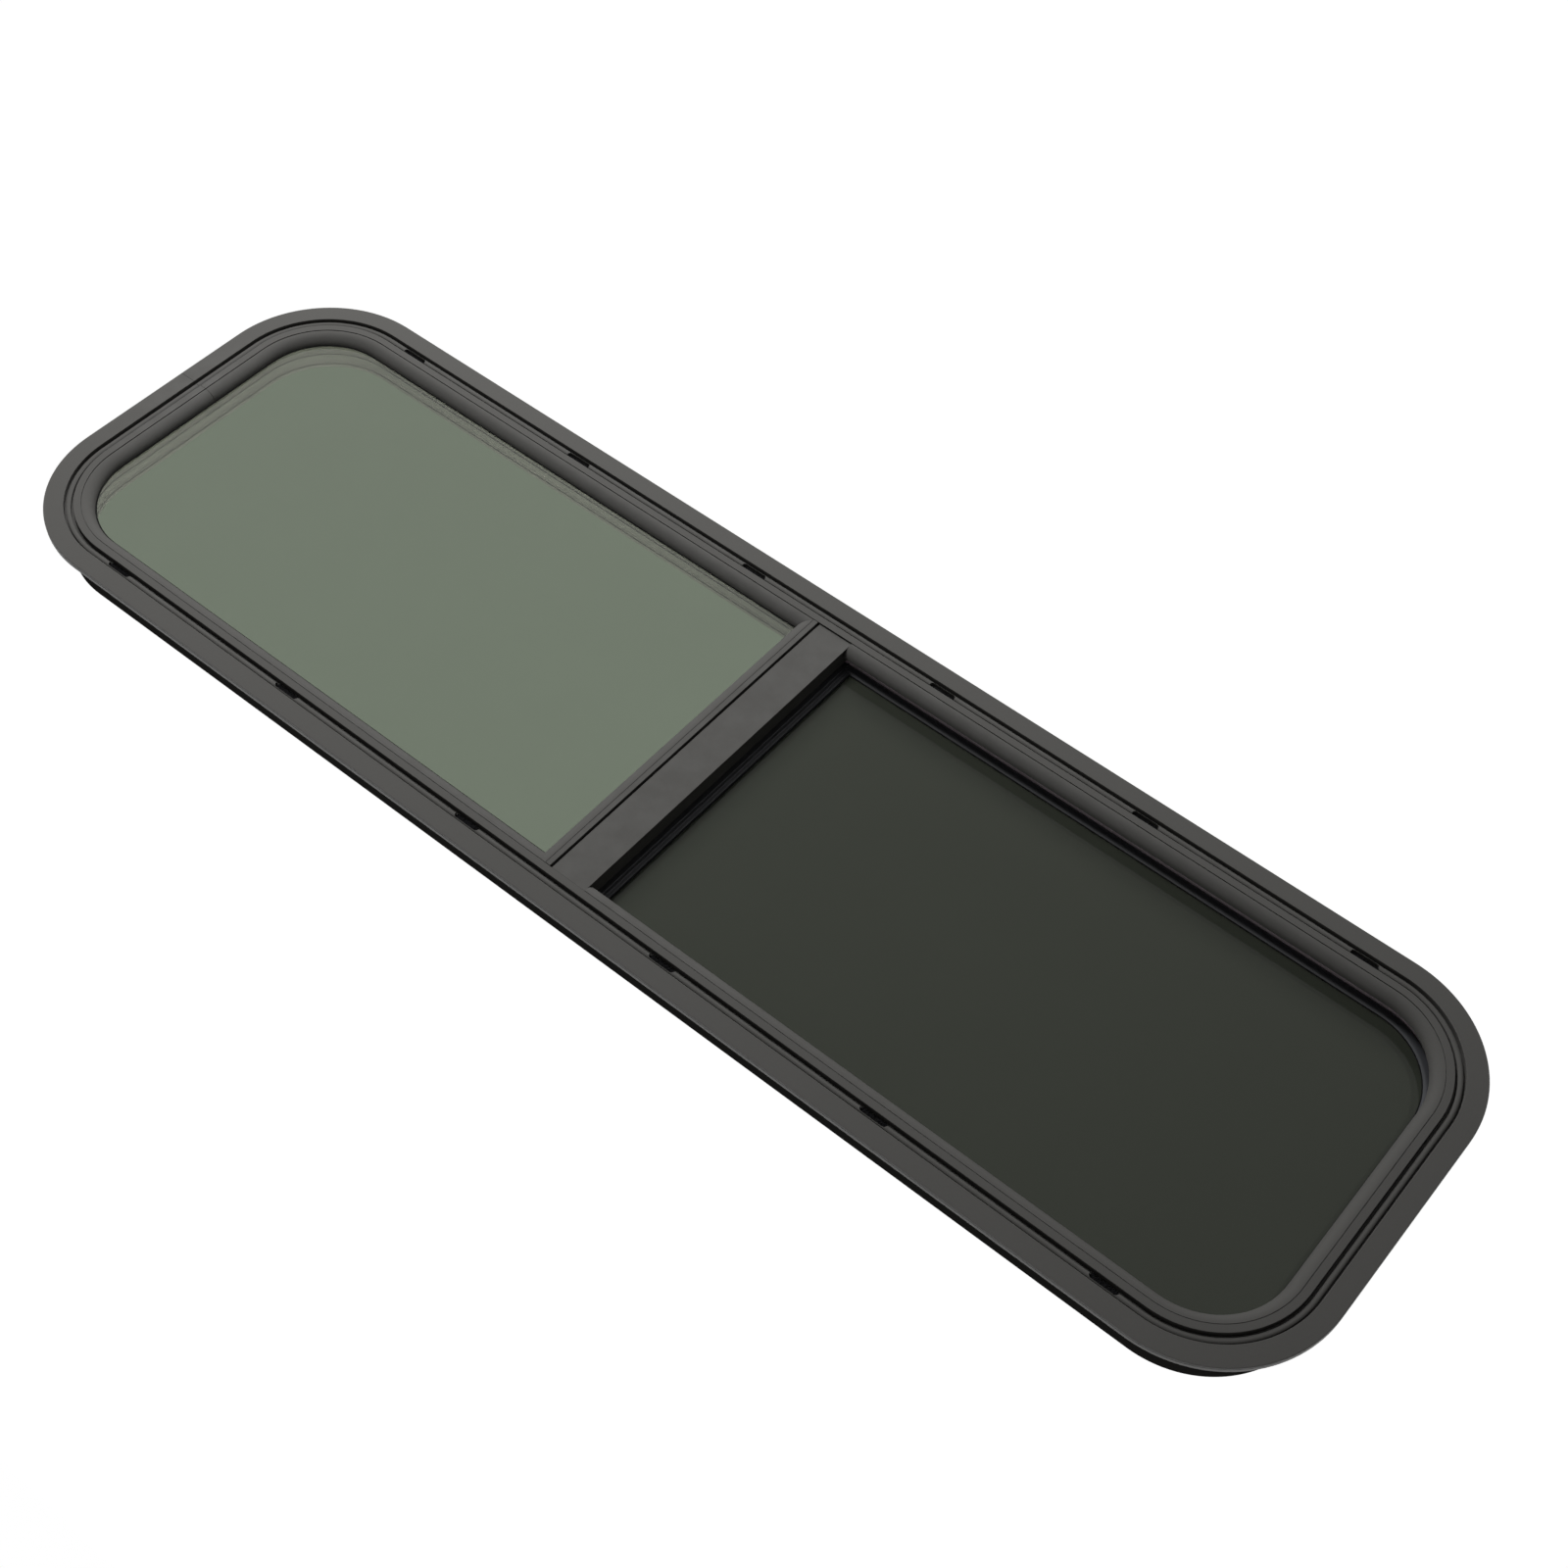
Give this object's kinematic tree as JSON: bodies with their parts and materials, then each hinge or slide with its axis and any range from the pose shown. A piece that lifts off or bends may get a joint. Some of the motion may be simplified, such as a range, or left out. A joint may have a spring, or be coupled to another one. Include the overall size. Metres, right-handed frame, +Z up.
{
  "type": "caravan window",
  "caption": "Black framed horizontal sliding window for a caravan wall, with a tinted fixed pane, a dark sliding sash, a drain groove with weep slots and an insect screen.",
  "frame": {"origin": "on the back face of the flange seal, which beds on the wall's outer skin, at the middle of the bottom flange", "axes": "+X along the window towards the fixed pane, +Y inwards through the wall, +Z up; the outside faces -Y"},
  "size_m": [1.25, 0.0495, 0.3835],
  "materials": {
    "frame_black": "satin",
    "mill_aluminium": "satin",
    "seal_foam": "matte",
    "liner_grey": "matte",
    "weep_foam": "porous",
    "fixed_tint": "tinted",
    "sash_tint": "dark tinted",
    "glazing_rubber": "matte",
    "pile_grey": "pile",
    "pile_black": "pile",
    "sash_black": "satin",
    "moulded_black": "moulded",
    "glide_nylon": "smooth",
    "screw_steel": "satin",
    "screen_mesh": "woven"
  },
  "bodies": {
    "root": {"outer_frame": "frame_black", "frame_splice": "mill_aluminium", "flange_seal": "seal_foam", "jamb_liner": "liner_grey", "weep_foam_top": "weep_foam", "weep_foam_bottom": "weep_foam", "fixed_glass": "fixed_tint", "fixed_glass_rubber": "glazing_rubber", "sash_track_pile": "pile_grey", "screen_track_pile": "pile_grey", "mullion_bar": "frame_black", "mullion_glazing_bead": "frame_black", "mullion_pile": "pile_black", "mullion_block_top": "moulded_black", "mullion_block_bottom": "moulded_black", "mullion_screws": "screw_steel", "sash_rail": "sash_black", "sash_stile": "sash_black", "sash_glass": "sash_tint", "sash_glass_rubber": "glazing_rubber", "sash_glides": "glide_nylon", "sash_bumper": "glazing_rubber", "sash_pull": "moulded_black", "sash_latch": "moulded_black", "screen_frame": "sash_black", "screen_stile": "sash_black", "screen_mesh": "screen_mesh", "screen_spline": "glazing_rubber", "screen_glides": "glide_nylon", "screen_pulls": "moulded_black"}
  },
  "joints": []
}
